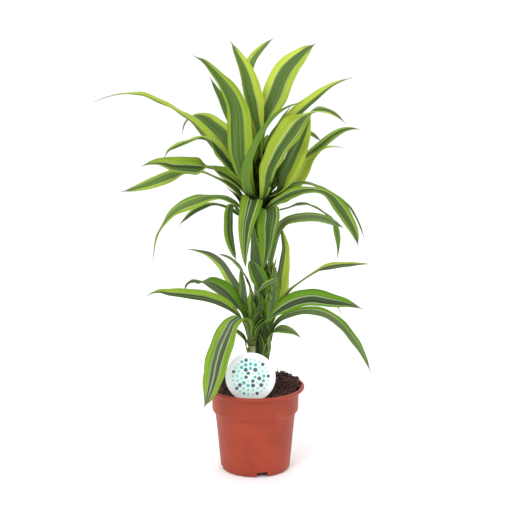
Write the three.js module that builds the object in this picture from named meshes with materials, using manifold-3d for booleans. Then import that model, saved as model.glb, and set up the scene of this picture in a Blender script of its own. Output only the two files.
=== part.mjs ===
// A dracaena with three canes and striped strap leaves, planted in a round grower's pot with a label.
// Millimetres. The origin is on the pot's axis at the surface it stands on: +X right, +Y back, +Z up.
import * as THREE from "three";
import { mergeVertices } from "three/addons/utils/BufferGeometryUtils.js";
import Module from "manifold-3d";

const wasm = await Module();
wasm.setup();

const clearance = 0.3; // gap left between two pieces that touch

// Pot: a tapered wall, a step out to a collar, and a lip that flares over it.
const potHeight = 148;
const potWall = 1.6;
const floorThickness = 2;
const footRadius = 60;
const footRound = 5;
const wallTopRadius = 69.5;
const wallTopHeight = 100;
const collarRadius = 74.6;
const collarBottomHeight = 107;
const collarTopRadius = 75.2;
const lipBottomHeight = 137;
const lipRadius = 85;
const lipDrop = 5;
const potSides = 48;

// Drainage notches through the bottom corner of the pot.
const notchWidth = 19.5;
const notchHeight = 9.5;
const notchDepth = 11;
const notchRound = 3;
const notchAngles = [11.5, 101.5, 191.5, 281.5]; // degrees from the front, towards the right

// Potting mix: nearly fills the pot, a little higher at the back.
const mixFrontHeight = 140;
const mixBackHeight = 149;
const mixLump = 1.2;

// Label: a round card on a pointed stake.
const labelRadius = 42.3;
const labelThickness = 0.9;
const labelCentre = new THREE.Vector3(-8, -55, 177);
const labelLean = 4; // degrees that the card leans back
const stakeWidth = 12;
const stakeTip = 92; // below the centre of the card

// Canes: the woody stems, each a list of points on its axis from the root end up.
const caneRadius = 6.5;
const caneSides = 10;
const canes = {
  tall: {
    name: "cane_tall",
    axis: [[4, 12, 78], [5, 12, 150], [5, 10, 250], [4, 8, 350], [4, 6, 430], [6, 4, 512]],
  },
  medium: {
    name: "cane_medium",
    axis: [[10, -8, 80], [13, -8, 150], [17, -6, 220], [21, -5, 280], [22, -6, 330]],
  },
  short: {
    name: "cane_short",
    axis: [[-4, -13, 84], [-6, -13, 150], [-6, -13, 215], [-5, -13, 274]],
  },
};

// Leaves: the route of each midrib is a list of [across, height, depth, twist]. Across and height are
// measured in the upright plane through the pot's axis, as seen from a viewpoint in front of it, and
// each point slides along the line of sight to its own depth behind that plane. Twist, in degrees,
// turns the upper face towards the viewpoint; without it a leaf arches with its upper face up.
const viewDistance = 2300;
const viewHeight = 830;
const leafThickness = 0.9;
const marginThickness = 0.5;
const leafBaseWidth = 9;
const leafTipWidth = 0.8;
const widestShare = 0.42; // share of its length at which a blade is widest
const baseEase = 1.5; // how long a blade stays narrow above its base
const leafFold = 13; // degrees that each half of the blade rises from the midrib
const leafStations = 17;
const sheathRise = 11; // height over which a leaf base stays close to its cane
const sheathLean = 2.4;

// A leaf's height and angle are those of its base on the cane: 0 degrees is right and 90 back. A small
// taper gives a slender point. `widest` moves the broadest place along the leaf, and `stem` is the share
// of its length that stays as narrow as the base.
const upperLeaves = [
  {
    cane: "tall", height: 478, angle: 178, width: 26, taper: 1.6, widest: 0.35,
    route: [[-41, 532, 14, 20], [-66, 560, 18, 35], [-82, 581, 20, 35], [-97, 597, 22, 30],
      [-114, 610, 24, 15], [-137, 624, 28, 10], [-162, 637, 31, 22], [-185, 647, 33, 25],
      [-211, 649, 35, 12], [-238, 646, 38, 0], [-268, 636, 40, 0]],
  },
  {
    cane: "tall", height: 471, angle: 138, width: 33, taper: 1.9,
    route: [[-28, 535, 29, 30], [-49, 579, 46, 50], [-69, 597, 58, 45], [-84, 608, 68, 30],
      [-99, 612, 78, 10], [-111, 607, 86, 5], [-119, 595, 92, 10], [-122, 582, 96, 10]],
  },
  {
    cane: "tall", height: 468, angle: 203, width: 34, taper: 1.9,
    route: [[-24, 505, -12, 30], [-38, 523, -18, 45], [-53, 542, -24, 50], [-66, 558, -32, 50],
      [-77, 569, -39, 20], [-91, 574, -46, -12], [-104, 571, -52, -12], [-119, 566, -58, 6],
      [-134, 560, -63, 12], [-145, 554, -68, 0], [-153, 542, -74, 0]],
  },
  {
    cane: "tall", height: 456, angle: 184, width: 30, taper: 2.4, widest: 0.6,
    route: [[-19, 488, 2, 45], [-36, 505, 2, 50], [-53, 516, 2, 45], [-68, 522, 0, 15],
      [-81, 525, -2, -8], [-94, 527, -4, 60], [-113, 529, -8, 72], [-135, 530, -11, 62],
      [-155, 534, -14, 38], [-173, 533, -16, 18], [-192, 528, -18, 10]],
  },
  {
    cane: "tall", height: 450, angle: 163, width: 22, taper: 1.8, widest: 0.68,
    route: [[-24, 476, 10, 10], [-34, 489, 14, 30], [-44, 497, 18, 25], [-58, 504, 22, 0],
      [-73, 511, 26, -6], [-88, 517, 29, -8], [-103, 517, 32, -6], [-120, 516, 34, 15],
      [-136, 512, 36, 50], [-155, 506, 38, 72], [-174, 499, 40, 75], [-192, 493, 42, 68],
      [-209, 488, 43, 50], [-226, 485, 44, 30]],
  },
  {
    cane: "tall", height: 493, angle: 132, width: 26, taper: 1.8, widest: 0.5,
    route: [[-6, 530, 46, 0], [-18, 562, 76, 0], [-32, 589, 80, 15], [-45, 617, 84, 15],
      [-57, 642, 87, 15], [-68, 662, 89, 10], [-75, 677, 90, 0]],
  },
  {
    cane: "tall", height: 464, angle: 238, width: 44, taper: 1.55, widest: 0.48,
    route: [[-12, 493, -32, 0], [-21, 522, -44, -12], [-26, 545, -51, -15], [-27, 567, -55, -15],
      [-28, 589, -58, -15], [-29, 612, -60, -15], [-35, 637, -63, -15], [-48, 660, -66, -10],
      [-66, 682, -69, 0], [-86, 703, -71, 0], [-103, 712, -72, 0]],
  },
  {
    cane: "tall", height: 500, angle: 266, width: 31, taper: 1.6, widest: 0.62, stem: 0.3,
    route: [[8, 538, -8, 0], [8, 567, -10, 0], [7, 592, -12, 0], [3, 614, -14, 0],
      [0, 634, -16, 0], [-5, 652, -18, 0], [-10, 673, -20, 0], [-19, 696, -22, 0],
      [-30, 716, -23, 0], [-41, 736, -24, 0]],
  },
  {
    cane: "tall", height: 499, angle: 93, width: 20, taper: 2.2, widest: 0.6,
    route: [[5, 542, 30, 0], [0, 602, 44, 0], [-10, 652, 54, 0], [-14, 675, 57, 0],
      [-11, 693, 60, 0], [-4, 708, 63, 0], [6, 720, 65, 0], [18, 731, 67, 0], [31, 741, 68, 0]],
  },
  {
    cane: "tall", height: 479, angle: 90, width: 16, taper: 2.0, widest: 0.5,
    route: [[14, 530, 33, 0], [8, 564, 46, 0], [1, 592, 56, 0], [-4, 617, 66, 0],
      [-12, 642, 78, 0], [-24, 668, 88, 0]],
  },
  {
    cane: "tall", height: 496, angle: 22, width: 46, taper: 2.2, widest: 0.62, stem: 0.27,
    route: [[10, 538, 10, 20], [11, 569, 10, 30], [13, 595, 10, 35], [21, 619, 11, 45],
      [30, 637, 11, 50], [38, 657, 13, 50], [44, 673, 16, 50], [54, 690, 18, 50],
      [69, 706, 20, 50], [84, 720, 24, 40], [100, 732, 26, 30]],
  },
  {
    cane: "tall", height: 457, angle: 253, width: 18, taper: 1.2, widest: 0.22,
    route: [[-11, 481, -38, 0], [-17, 501, -53, 0], [-16, 522, -64, 0], [-9, 545, -72, 0],
      [0, 566, -76, 0], [11, 586, -76, 0], [23, 603, -73, 0], [37, 617, -68, 0], [55, 628, -60, 0],
      [78, 635, -50, 0]],
  },
  {
    cane: "tall", height: 482, angle: 15, width: 23, taper: 1.8, widest: 0.5,
    route: [[21, 537, 18, 30], [29, 562, 20, 35], [39, 582, 22, 45], [52, 600, 24, 45],
      [67, 617, 28, 45], [81, 629, 31, 45], [97, 642, 35, 40], [113, 654, 39, 35],
      [130, 665, 43, 25], [160, 676, 48, 10]],
  },
  {
    cane: "tall", height: 451, angle: 300, width: 51, taper: 1.7, widest: 0.58,
    route: [[17, 484, -20, 0], [20, 505, -27, 0], [24, 522, -33, 0], [31, 538, -38, 0],
      [40, 555, -43, 0], [51, 572, -48, 0], [62, 588, -53, -8], [73, 602, -58, 4],
      [84, 611, -64, 24], [98, 618, -72, 45], [114, 620, -80, 38], [133, 613, -88, 34],
      [151, 600, -96, 20]],
  },
  {
    cane: "tall", height: 460, angle: 344, width: 37, taper: 2.4, widest: 0.4,
    route: [[41, 484, -2, 20], [53, 508, 4, 55], [65, 535, 7, 68], [76, 560, 14, 68],
      [85, 585, 20, 60], [92, 614, 28, 40]],
  },
  {
    cane: "tall", height: 450, angle: 46, width: 24, taper: 1.7,
    route: [[45, 470, 34, 20], [62, 492, 52, 40], [78, 516, 68, 50], [90, 540, 80, 30],
      [103, 552, 90, 0], [120, 560, 104, 0], [148, 560, 124, 0]],
  },
  {
    cane: "tall", height: 466, angle: 50, width: 16, taper: 2.2, widest: 0.6,
    route: [[35, 500, 30, 0], [60, 528, 42, 0], [85, 545, 58, 0], [100, 555, 62, 10],
      [111, 564, 64, 30], [121, 573, 67, 50], [132, 581, 70, 50], [145, 588, 73, 40],
      [158, 591, 75, 20], [176, 590, 78, 0]],
  },
  {
    cane: "tall", height: 474, angle: 68, width: 18, taper: 3.0, widest: 0.6,
    route: [[22, 545, 50, 0], [46, 572, 70, 0], [65, 582, 86, 0], [80, 585, 98, 0],
      [91, 583, 108, 20], [101, 577, 116, 40], [111, 570, 124, 20]],
  },
  {
    cane: "tall", height: 446, angle: 0, width: 24, taper: 1.7, widest: 0.5,
    route: [[28, 462, 3, 0], [40, 479, 8, 20], [52, 489, 14, 30], [63, 496, 19, 20],
      [77, 498, 24, 20], [92, 497, 28, 22], [109, 490, 33, 22], [127, 482, 38, 22],
      [144, 472, 42, 20], [159, 457, 45, 15], [172, 436, 48, 10], [185, 406, 50, 0]],
  },
  {
    cane: "tall", height: 437, angle: 344, width: 25, taper: 2.6, widest: 0.6,
    route: [[26, 461, -17, 40], [45, 473, -20, 50], [65, 482, -28, 42], [85, 486, -32, 12],
      [104, 485, -36, -5], [123, 478, -39, 12], [142, 458, -42, 42], [158, 434, -45, 50],
      [169, 412, -47, 45], [175, 390, -48, 30]],
  },
  {
    cane: "tall", height: 424, angle: 30, width: 18, taper: 2.6, widest: 0.6,
    route: [[21, 449, 20, 0], [37, 453, 26, 0], [50, 455, 32, -5], [62, 459, 36, -5],
      [74, 463, 40, 12], [87, 463, 44, 5], [102, 457, 49, 0], [116, 448, 53, 5],
      [128, 436, 56, 30], [136, 420, 58, 60], [139, 402, 59, 60], [140, 385, 60, 50],
      [139, 366, 60, 20]],
  },
  {
    cane: "tall", height: 440, angle: 190, width: 23, taper: 1.9, widest: 0.5,
    route: [[-22, 455, -4, 0], [-33, 464, -8, 25], [-44, 470, -10, 30], [-58, 473, -13, 20],
      [-70, 474, -16, -8], [-83, 472, -19, 35], [-98, 468, -22, 60], [-115, 462, -25, 55],
      [-130, 454, -27, 35], [-144, 441, -30, 12], [-155, 427, -32, 0], [-166, 407, -34, 0],
      [-175, 364, -34, 0]],
  },
  {
    cane: "tall", height: 428, angle: 148, width: 16, taper: 2.2, widest: 0.55,
    route: [[-26, 444, 26, 0], [-38, 452, 36, 0], [-49, 458, 46, 0], [-63, 462, 56, 0],
      [-76, 461, 66, 25], [-92, 457, 75, 45], [-107, 448, 84, 60], [-120, 437, 93, 50],
      [-130, 427, 104, 20]],
  },
  {
    cane: "tall", height: 430, angle: 220, width: 17, taper: 2.0, widest: 0.72, stem: 0.3,
    route: [[-28, 450, -16, 0], [-34, 460, -30, 0], [-41, 461, -42, 0], [-45, 449, -54, 10],
      [-46, 431, -62, 30], [-46, 414, -67, 35], [-43, 397, -70, 35], [-38, 382, -72, 30],
      [-32, 366, -74, 20]],
  },
  {
    cane: "tall", height: 444, angle: 247, width: 37, taper: 1.2, widest: 0.38,
    route: [[-5, 461, -26, 0], [-5, 471, -42, 0], [-7, 465, -56, 0], [-11, 449, -66, 0],
      [-15, 431, -70, 0], [-17, 414, -71, 0], [-18, 395, -70, 0], [-18, 375, -68, 0],
      [-16, 352, -66, 0]],
  },
  {
    cane: "tall", height: 429, angle: 291, width: 40, taper: 1.4, widest: 0.42, stem: 0.06,
    route: [[13, 449, -20, 0], [18, 455, -36, 0], [21, 450, -47, 0], [21, 440, -52, 0],
      [19, 425, -56, 0], [19, 409, -57, 0], [18, 390, -56, 0], [16, 371, -54, 0], [14, 350, -52, 0]],
  },
  {
    cane: "tall", height: 436, angle: 80, width: 24, taper: 1.9,
    route: [[10, 456, 34, 0], [12, 468, 62, 0], [9, 460, 95, 0], [6, 430, 125, 0], [4, 392, 142, 0]],
  },
  {
    cane: "tall", height: 458, angle: 95, width: 26, taper: 1.9,
    route: [[-3, 494, 36, 0], [-8, 526, 62, 0], [-10, 540, 100, 0], [-14, 530, 140, 0],
      [-16, 500, 172, 0]],
  },
  {
    cane: "tall", height: 463, angle: 117, width: 24, taper: 1.9,
    route: [[10, 509, 44, 0], [16, 551, 74, 0], [23, 572, 100, 0], [31, 570, 130, 0],
      [39, 550, 156, 0]],
  },
  {
    cane: "tall", height: 441, angle: 115, width: 24, taper: 1.9,
    route: [[-8, 462, 32, 0], [-14, 474, 60, 0], [-17, 468, 95, 0], [-18, 440, 125, 0],
      [-18, 404, 140, 0]],
  },
  {
    cane: "tall", height: 454, angle: 66, width: 24, taper: 1.9,
    route: [[30, 498, 40, 0], [42, 528, 68, 0], [50, 538, 100, 0], [62, 528, 134, 0],
      [72, 504, 162, 0]],
  },
];

const middleLeaves = [
  {
    cane: "medium", height: 308, angle: 235, width: 27, taper: 1.6,
    route: [[6, 328, -14, 0], [3, 349, -16, 0], [0, 369, -18, 0], [-2, 394, -20, 0],
      [-3, 414, -21, 0], [-3, 432, -22, 0]],
  },
  {
    cane: "medium", height: 310, angle: 60, width: 16, taper: 2.2, widest: 0.75,
    route: [[24, 328, 6, 60], [25, 350, 9, 60], [26, 371, 11, 55], [30, 392, 12, 45],
      [34, 409, 12, 35], [41, 424, 12, 20], [50, 433, 12, -5], [60, 437, 12, -8],
      [72, 440, 12, 10], [86, 442, 12, 32], [102, 442, 11, 38], [119, 438, 9, 35],
      [135, 431, 8, 30], [151, 422, 6, 15]],
  },
  {
    cane: "medium", height: 268, angle: 60, width: 30, taper: 1.0, widest: 0.45,
    route: [[29, 277, 10, 30], [35, 291, 16, 45], [41, 307, 20, 60], [44, 324, 24, 68],
      [45, 342, 25, 70], [48, 359, 26, 68], [50, 375, 28, 62], [51, 388, 28, 55],
      [49, 402, 29, 40], [45, 418, 29, 20], [41, 433, 30, 0]],
  },
  {
    cane: "medium", height: 291, angle: 240, width: 35, taper: 2.8, widest: 0.6, stem: 0.2,
    route: [[11, 312, -36, 0], [8, 326, -48, 0], [2, 341, -50, 0], [-4, 355, -53, 0],
      [-8, 370, -56, 0]],
  },
  {
    cane: "medium", height: 256, angle: 304, width: 28, taper: 2.2,
    route: [[30, 288, -18, 0], [33, 306, -17, 0], [33, 325, -21, 0], [33, 342, -31, 0],
      [35, 356, -32, 0]],
  },
  {
    cane: "medium", height: 214, angle: 15, width: 20, taper: 2.6, widest: 0.6,
    route: [[31, 247, 4, 10], [39, 260, 8, 25], [49, 268, 12, 40], [63, 274, 15, 45],
      [78, 278, 18, 45], [95, 279, 20, 48], [112, 276, 22, 50], [128, 269, 24, 50],
      [143, 258, 26, 52], [158, 242, 28, 55], [172, 223, 30, 55], [185, 202, 31, 50],
      [194, 183, 33, 40], [200, 169, 34, 20]],
  },
  {
    cane: "medium", height: 200, angle: 333, width: 17, taper: 2.0, widest: 0.6,
    route: [[26, 233, -19, 0], [33, 242, -20, 20], [42, 246, -21, 50], [53, 245, -23, 60],
      [65, 241, -24, 50], [79, 231, -25, 20]],
  },
  {
    cane: "medium", height: 250, angle: 3, width: 18, taper: 2.2, widest: 0.7,
    route: [[38, 287, -1, 20], [49, 303, 5, 20], [60, 315, 12, 15], [72, 325, 17, 10],
      [84, 334, 23, 5], [95, 341, 28, 5], [107, 348, 34, 18], [120, 354, 40, 40],
      [136, 357, 46, 48], [152, 359, 53, 45], [171, 360, 58, 35], [200, 361, 64, 15]],
  },
  {
    cane: "medium", height: 240, angle: 50, width: 15, taper: 2.0,
    route: [[42, 284, 30, 0], [75, 302, 52, 0], [110, 302, 74, 0], [135, 292, 88, 0],
      [149, 272, 98, 0]],
  },
  {
    cane: "medium", height: 290, angle: 90, width: 22, taper: 1.9,
    route: [[24, 325, 28, 0], [26, 346, 54, 0], [27, 342, 86, 0], [27, 318, 112, 0],
      [26, 290, 126, 0]],
  },
  {
    cane: "medium", height: 250, angle: 102, width: 22, taper: 1.9,
    route: [[20, 272, 32, 0], [30, 288, 58, 0], [40, 292, 90, 0], [50, 288, 120, 0],
      [56, 280, 144, 0]],
  },
];

const lowerLeaves = [
  {
    cane: "short", height: 264, angle: 54, width: 20, taper: 1.8, widest: 0.34,
    route: [[-3, 293, 4, 15], [-6, 315, 7, 45], [-12, 333, 4, 60], [-21, 348, 6, 40],
      [-29, 360, 8, 25], [-40, 370, 9, 20], [-51, 375, 11, 0], [-64, 378, 14, 0]],
  },
  {
    cane: "short", height: 268, angle: 320, width: 14, taper: 2.0, widest: 0.6, stem: 0.4,
    route: [[0, 296, -18, 0], [1, 306, -33, 0], [5, 313, -48, 0], [13, 321, -60, 20],
      [23, 328, -66, 40], [35, 334, -66, 40], [45, 336, -60, 20]],
  },
  {
    cane: "short", height: 254, angle: 225, width: 16, taper: 2.0,
    route: [[-10, 275, -21, 0], [-10, 292, -24, 0], [-8, 306, -29, 0], [-4, 314, -36, 0]],
  },
  {
    cane: "short", height: 250, angle: 305, width: 16, taper: 2.0,
    route: [[6, 272, -24, 0], [10, 288, -27, 0], [10, 302, -31, 0], [7, 312, -37, 0]],
  },
  {
    cane: "short", height: 256, angle: 106, width: 18, taper: 2.0,
    route: [[-16, 280, 5, 20], [-20, 301, 10, 45], [-21, 319, 14, 55], [-23, 336, 18, 50],
      [-25, 356, 22, 20]],
  },
  {
    cane: "short", height: 250, angle: 136, width: 18.5, taper: 1.8,
    route: [[-18, 277, 9, 20], [-25, 301, 16, 45], [-32, 318, 22, 55], [-40, 331, 27, 65],
      [-47, 343, 32, 68], [-54, 355, 37, 65], [-63, 365, 43, 50], [-74, 374, 49, 30],
      [-87, 380, 55, 10], [-101, 384, 60, 0], [-116, 387, 74, 0]],
  },
  {
    cane: "short", height: 238, angle: 190, width: 32, taper: 1.9, widest: 0.5,
    route: [[-21, 274, -18, 20], [-29, 286, -12, 40], [-38, 299, -8, 55], [-50, 312, -1, 62],
      [-63, 322, 6, 65], [-76, 328, 13, 60], [-88, 330, 20, 35], [-101, 329, 28, -8],
      [-110, 328, 35, 30], [-117, 323, 43, 45], [-121, 314, 50, 20]],
  },
  {
    cane: "short", height: 232, angle: 205, width: 20, taper: 2.2, widest: 0.5,
    route: [[-26, 268, -22, 20], [-36, 279, -33, 45], [-48, 289, -37, 58], [-62, 297, -42, 62],
      [-77, 302, -46, 62], [-94, 306, -51, 62], [-111, 308, -55, 62], [-129, 310, -57, 60],
      [-146, 311, -58, 55], [-163, 313, -59, 35], [-178, 309, -60, 10], [-190, 303, -60, 0]],
  },
  {
    cane: "short", height: 222, angle: 246, width: 46, taper: 3.0, widest: 0.6, stem: 0.08,
    route: [[-13, 256, -40, 0], [-26, 265, -55, 10], [-37, 259, -64, 20], [-46, 242, -69, 28],
      [-54, 221, -74, 30], [-60, 202, -79, 30], [-66, 182, -83, 30], [-70, 162, -87, 28],
      [-75, 143, -90, 22], [-81, 124, -92, 15], [-90, 106, -93, 0]],
  },
  {
    cane: "short", height: 230, angle: 320, width: 32, taper: 2.6, widest: 0.5,
    route: [[8, 250, -32, 0], [26, 267, -41, 30], [44, 283, -49, 58], [61, 293, -55, 65],
      [78, 299, -60, 65], [95, 302, -65, 65], [112, 300, -69, 65], [131, 296, -72, 63],
      [150, 293, -74, 55], [167, 288, -76, 40], [185, 282, -78, 20]],
  },
  {
    cane: "short", height: 206, angle: 185, width: 15, taper: 2.0,
    route: [[-19, 228, -12, 20], [-28, 239, -13, 20], [-43, 248, -12, 20], [-58, 243, -9, 10]],
  },
  {
    cane: "short", height: 236, angle: 100, width: 20, taper: 1.9,
    route: [[-14, 268, 10, 0], [-18, 286, 40, 0], [-21, 297, 74, 0], [-23, 294, 104, 0],
      [-24, 278, 128, 0]],
  },
];

// A closed geometry as a solid for cutting.
function solidOf(geometry) {
  const bare = geometry.clone();
  bare.deleteAttribute("normal");
  bare.deleteAttribute("uv");
  const merged = mergeVertices(bare, 1e-4);
  return new wasm.Manifold(
    new wasm.Mesh({
      numProp: 3,
      vertProperties: merged.attributes.position.array,
      triVerts: new Uint32Array(merged.index.array),
    }),
  );
}

function geometryOf(solid) {
  const mesh = solid.getMesh();
  const geometry = new THREE.BufferGeometry();
  geometry.setAttribute("position", new THREE.BufferAttribute(mesh.vertProperties, 3));
  geometry.setIndex(new THREE.BufferAttribute(mesh.triVerts, 1));
  return geometry;
}

function named(name, geometry, material) {
  const mesh = new THREE.Mesh(geometry, material);
  mesh.name = name;
  return mesh;
}

function paint(color, roughness) {
  return new THREE.MeshStandardMaterial({ color, roughness, metalness: 0 });
}

const degrees = THREE.MathUtils.degToRad;

// ---- pot ----

// The pot's outline, from the middle of the underside round the lip to the middle of the inside floor.
function potOutline() {
  const outside = [
    [0, 0],
    [footRadius - footRound, 0],
    [footRadius - footRound * 0.3, footRound * 0.3],
    [footRadius, footRound],
    [wallTopRadius, wallTopHeight],
    [collarRadius, collarBottomHeight],
    [collarTopRadius, lipBottomHeight],
    [lipRadius - 0.8, potHeight - lipDrop],
    [lipRadius, potHeight - lipDrop + 1],
    [lipRadius, potHeight - 1],
    [lipRadius - 1, potHeight],
  ];
  const inside = [
    [collarTopRadius + 1, potHeight],
    [collarTopRadius - potWall, lipBottomHeight],
    [collarRadius - potWall, collarBottomHeight + 1],
    [wallTopRadius - potWall, wallTopHeight + 1],
    [footRadius - potWall, footRound + floorThickness],
    [footRadius - footRound - potWall, floorThickness],
    [0, floorThickness],
  ];
  return [...outside, ...inside].map(([radius, height]) => new THREE.Vector2(radius, height));
}

// One notch: a block with round upper corners, which reaches in through the bottom corner.
function notchCutter(angle) {
  const half = notchWidth / 2;
  const outline = new THREE.Shape();
  outline.moveTo(-half, -1);
  outline.lineTo(half, -1);
  outline.lineTo(half, notchHeight - notchRound);
  outline.absarc(half - notchRound, notchHeight - notchRound, notchRound, 0, Math.PI / 2);
  outline.absarc(notchRound - half, notchHeight - notchRound, notchRound, Math.PI / 2, Math.PI);
  const depth = 2 * notchDepth;
  const geometry = new THREE.ExtrudeGeometry(outline, { depth, bevelEnabled: false, curveSegments: 3 });
  geometry.rotateX(Math.PI / 2);
  geometry.translate(0, -(footRadius - notchDepth), 0);
  geometry.rotateZ(degrees(angle));
  return solidOf(geometry);
}

function makePot() {
  // A lathe turns about +Y, so the outline is turned and then stood up.
  const body = new THREE.LatheGeometry(potOutline(), potSides);
  body.rotateX(Math.PI / 2);
  let pot = solidOf(body);
  for (const angle of notchAngles) {
    pot = pot.subtract(notchCutter(angle));
  }
  return geometryOf(pot);
}

// ---- canes ----

function caneCurve(cane) {
  return new THREE.CatmullRomCurve3(cane.axis.map((point) => new THREE.Vector3(...point)));
}

// The point of a cane's axis at a height.
function caneAt(curve, height) {
  let low = 0;
  let high = 1;
  for (let step = 0; step < 30; step += 1) {
    const middle = (low + high) / 2;
    if (curve.getPoint(middle).z < height) {
      low = middle;
    } else {
      high = middle;
    }
  }
  return curve.getPoint(low);
}

function caneGeometry(curve, radius) {
  const section = new THREE.Shape();
  for (let side = 0; side < caneSides; side += 1) {
    const angle = (2 * Math.PI * side) / caneSides;
    const corner = [radius * Math.cos(angle), radius * Math.sin(angle)];
    if (side === 0) {
      section.moveTo(...corner);
    } else {
      section.lineTo(...corner);
    }
  }
  return new THREE.ExtrudeGeometry(section, { steps: 12, extrudePath: curve, bevelEnabled: false });
}

// ---- label ----

// The card and its stake in one outline, `grow` larger all round, standing in the XZ plane.
function labelGeometry(grow) {
  const radius = labelRadius + grow;
  const half = stakeWidth / 2 + grow;
  const meet = Math.acos(half / radius);
  const outline = new THREE.Shape();
  outline.absarc(0, 0, radius, -meet, Math.PI + meet);
  outline.lineTo(-half, -stakeTip + 16);
  outline.lineTo(0, -stakeTip - grow);
  outline.lineTo(half, -stakeTip + 16);
  const depth = labelThickness + 2 * grow;
  const geometry = new THREE.ExtrudeGeometry(outline, { depth, bevelEnabled: false, curveSegments: 40 });
  geometry.translate(0, 0, -depth / 2);
  geometry.rotateX(Math.PI / 2 - degrees(labelLean));
  geometry.translate(labelCentre.x, labelCentre.y, labelCentre.z);
  return geometry;
}

// ---- potting mix ----

function mixSurface(x, y) {
  const rise = THREE.MathUtils.smoothstep(y, -40, 60);
  const lumps = Math.sin(x * 0.13 + 1) * Math.cos(y * 0.11) + 0.6 * Math.sin(x * 0.07 - y * 0.16);
  return mixFrontHeight + (mixBackHeight - mixFrontHeight) * rise + mixLump * lumps;
}

// Fills the pot's inside, with sockets for the canes and the stake.
function makeMix(curves) {
  const space = potWall + clearance;
  const outline = [
    [0, floorThickness + clearance],
    [footRadius - footRound - space, floorThickness + clearance],
    [footRadius - space, footRound + floorThickness + clearance],
    [wallTopRadius - space, wallTopHeight + 1],
    [collarRadius - space, collarBottomHeight + 2],
    [collarRadius - space, mixFrontHeight],
    [60, mixFrontHeight],
    [44, mixFrontHeight],
    [28, mixFrontHeight],
    [12, mixFrontHeight],
    [0, mixFrontHeight],
  ];
  const points = outline.map(([radius, height]) => new THREE.Vector2(radius, height));
  const body = new THREE.LatheGeometry(points, 32);
  body.rotateX(Math.PI / 2);
  const corners = body.attributes.position;
  for (let index = 0; index < corners.count; index += 1) {
    if (corners.getZ(index) > mixFrontHeight - 1) {
      corners.setZ(index, mixSurface(corners.getX(index), corners.getY(index)));
    }
  }
  let mix = solidOf(body);
  for (const curve of curves) {
    mix = mix.subtract(solidOf(caneGeometry(curve, caneRadius + clearance)));
  }
  return geometryOf(mix.subtract(solidOf(labelGeometry(clearance))));
}

// ---- leaves ----

// Slides a point of the plane through the pot's axis along the line of sight to its depth.
function inSpace([across, height, depth]) {
  const scale = (viewDistance + depth) / viewDistance;
  return new THREE.Vector3(across * scale, depth, viewHeight + (height - viewHeight) * scale);
}

// The width of a blade at a share of its length: a narrow base, a broad middle and a long point.
function bladeWidth({ width, taper, widest = widestShare, stem = 0 }, share) {
  if (share < widest) {
    const grown = Math.max(share - stem, 0) / (widest - stem);
    const swell = Math.sin((Math.PI / 2) * grown) ** baseEase;
    return leafBaseWidth + (width - leafBaseWidth) * swell;
  }
  const beyond = (share - widest) / (1 - widest);
  return leafTipWidth + (width - leafTipWidth) * (1 - beyond ** taper);
}

// The midrib as points with their forward, side and upper directions. The frame is carried along the
// curve without turning about it, and then the leaf's own twist is added.
function leafFrames(curve, baseSide, twists) {
  const steps = 96;
  const frames = [];
  const side = baseSide.clone();
  for (let step = 0; step <= steps; step += 1) {
    const share = step / steps;
    const forward = curve.getTangentAt(share);
    side.addScaledVector(forward, -side.dot(forward)).normalize();
    const place = curve.getUtoTmapping(share) * (twists.length - 1);
    const before = Math.min(Math.floor(place), twists.length - 2);
    const twist = THREE.MathUtils.lerp(twists[before], twists[before + 1], place - before);
    const across = side.clone().applyAxisAngle(forward, degrees(twist));
    const upper = new THREE.Vector3().crossVectors(forward, across);
    frames.push({ share, point: curve.getPointAt(share), across, upper });
  }
  return frames.filter((frame, step) => step % (steps / (leafStations - 1)) === 0);
}

function leafGeometry(curves, leaf) {
  const { cane, height, angle, route } = leaf;
  const axis = curves[cane];
  const outward = new THREE.Vector3(Math.cos(degrees(angle)), Math.sin(degrees(angle)), 0);
  const reach = caneRadius + clearance + leafThickness / 2;
  const base = caneAt(axis, height).addScaledVector(outward, reach);
  const shoulder = caneAt(axis, height + sheathRise).addScaledVector(outward, reach + sheathLean);
  const curve = new THREE.CatmullRomCurve3([base, shoulder, ...route.map(inSpace)], false, "centripetal");
  curve.arcLengthDivisions = 400;

  // Seen from outside with the tip up, the side direction points to the left, so that the upper face
  // looks in at the cane. Twist towards the viewpoint is clockwise for a leaf that leans left.
  const side = new THREE.Vector3(-outward.y, outward.x, 0);
  const hand = route.at(-1)[0] < route[0][0] ? -1 : 1;
  const twists = [0, 0, ...route.map((point) => hand * point[3])];
  const frames = leafFrames(curve, side, twists);

  const corners = [];
  for (const { share, point, across, upper } of frames) {
    const half = bladeWidth(leaf, share) / 2;
    const out = half * Math.cos(degrees(leafFold));
    const rise = half * Math.sin(degrees(leafFold));
    const section = [
      [-out, rise + marginThickness / 2],
      [0, leafThickness / 2],
      [out, rise + marginThickness / 2],
      [out, rise - marginThickness / 2],
      [0, -leafThickness / 2],
      [-out, rise - marginThickness / 2],
    ];
    for (const [sideways, up] of section) {
      const corner = point.clone().addScaledVector(across, sideways).addScaledVector(upper, up);
      corners.push(corner.x, corner.y, corner.z);
    }
  }

  const faces = [];
  const around = 6;
  for (let station = 0; station < leafStations - 1; station += 1) {
    for (let corner = 0; corner < around; corner += 1) {
      const a = station * around + corner;
      const b = station * around + ((corner + 1) % around);
      // The underside's triangles are split like the ones above them, so that a twisted blade stays whole.
      if (corner === 3 || corner === 4) {
        faces.push(a, a + around, b + around, a, b + around, b);
      } else {
        faces.push(a, a + around, b, b, a + around, b + around);
      }
    }
  }
  const tip = (leafStations - 1) * around;
  for (const [p, q, r] of [[0, 1, 4], [0, 4, 5], [1, 2, 3], [1, 3, 4]]) {
    faces.push(p, q, r);
    faces.push(tip + p, tip + r, tip + q);
  }
  const geometry = new THREE.BufferGeometry();
  geometry.setAttribute("position", new THREE.Float32BufferAttribute(corners, 3));
  geometry.setIndex(faces);
  return geometry;
}

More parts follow.
